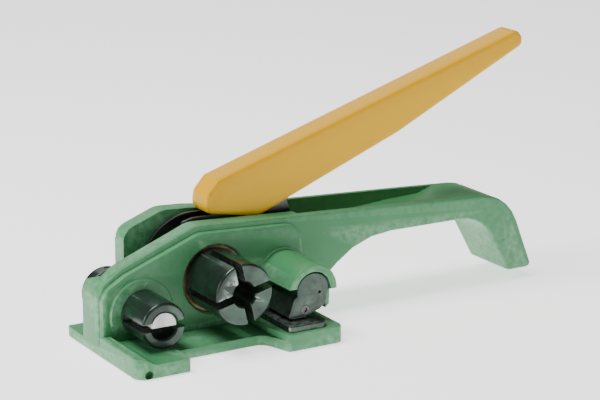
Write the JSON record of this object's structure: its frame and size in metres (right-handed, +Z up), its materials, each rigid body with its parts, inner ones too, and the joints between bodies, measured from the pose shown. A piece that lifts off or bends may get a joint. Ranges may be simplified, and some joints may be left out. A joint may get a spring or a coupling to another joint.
{
  "type": "strapping tensioner",
  "caption": "Hand windlass strapping tensioner: slotted drum on a ratchet, pumping lever, spring gripper over an anvil, slotted cutter sleeve, and a cast base with a fixed curved handle.",
  "frame": {"origin": "on the sole, under the front face of the front wall and midway along the sole", "axes": "+X from the nose to the tail of the fixed handle, -Y towards the drum's free end, +Z up"},
  "size_m": [0.3042, 0.0976, 0.1577],
  "materials": {
    "green_casting": "satin enamel over a cast surface",
    "blackened_steel": "blackened steel, oiled and glossy",
    "bare_steel": "machined, lightly oiled",
    "yellow_enamel": "glossy enamel",
    "bronze": "turned bronze"
  },
  "bodies": {
    "tool_body": {"body_casting": "green_casting", "front_bush": "bronze", "back_bush": "bronze", "holding_pawl_pin": "bare_steel", "holding_pawl_spring": "bare_steel", "holding_pawl_spacer": "bare_steel", "lever_stop_pin": "bare_steel", "anvil_plate": "blackened_steel", "anvil_screw_1": "bare_steel", "anvil_screw_2": "bare_steel", "gripper_pin": "bare_steel", "gripper_spring": "bare_steel", "cutter_sleeve": "blackened_steel", "sleeve_set_screw": "bare_steel", "cutter_spring": "bare_steel"},
    "windlass": {"windlass_drum": "blackened_steel", "ratchet_key": "bare_steel", "ratchet_wheel": "bare_steel", "front_spacer": "bare_steel", "rear_spacer": "bare_steel", "shaft_washer": "bare_steel", "shaft_circlip": "bare_steel"},
    "lever": {"lever_fork": "bare_steel", "lever_grip": "yellow_enamel", "grip_screw_1": "bare_steel", "grip_screw_2": "bare_steel", "drive_pawl_pin": "bare_steel", "drive_pawl_spring": "bare_steel"},
    "drive_pawl": {"drive_pawl": "bare_steel"},
    "holding_pawl": {"holding_pawl": "bare_steel"},
    "gripper": {"gripper_cam": "blackened_steel", "gripper_jaw": "bare_steel", "jaw_dowel": "bare_steel"},
    "cutter": {"cutter_core": "bare_steel", "cutter_trip_arm": "bare_steel", "cutter_hub": "blackened_steel", "hub_roll_pin": "bare_steel"}
  },
  "joints": [
    {"name": "windlass_turn", "type": "hinge", "parent": "tool_body", "child": "windlass", "pos_m": [0.007, 0.0244, 0.0355], "axis": [0, 1, 0], "continuous": true},
    {"name": "lever_swing", "type": "hinge", "parent": "tool_body", "child": "lever", "pos_m": [0.007, 0.0244, 0.0355], "axis": [0, -1, 0], "range_deg": [0, 90]},
    {"name": "drive_pawl_swing", "type": "hinge", "parent": "lever", "child": "drive_pawl", "pos_m": [0.03804, 0.0244, 0.06061], "axis": [0, 1, 0], "range_deg": [-6, 8], "stiffness_Nm_per_rad": 0.05},
    {"name": "holding_pawl_swing", "type": "hinge", "parent": "tool_body", "child": "holding_pawl", "pos_m": [0.04416, 0.0244, 0.01817], "axis": [0, 1, 0], "range_deg": [-5, 8], "stiffness_Nm_per_rad": 0.05},
    {"name": "gripper_swing", "type": "hinge", "parent": "tool_body", "child": "gripper", "pos_m": [0.0525, 0, 0.0305], "axis": [0, 1, 0], "range_deg": [0, 18], "stiffness_Nm_per_rad": 0.3, "springref_deg": -22.92},
    {"name": "cutter_turn", "type": "hinge", "parent": "tool_body", "child": "cutter", "pos_m": [-0.0408, 0, 0.023], "axis": [0, -1, 0], "range_deg": [0, 40], "stiffness_Nm_per_rad": 0.2, "springref_deg": -17.19}
  ]
}
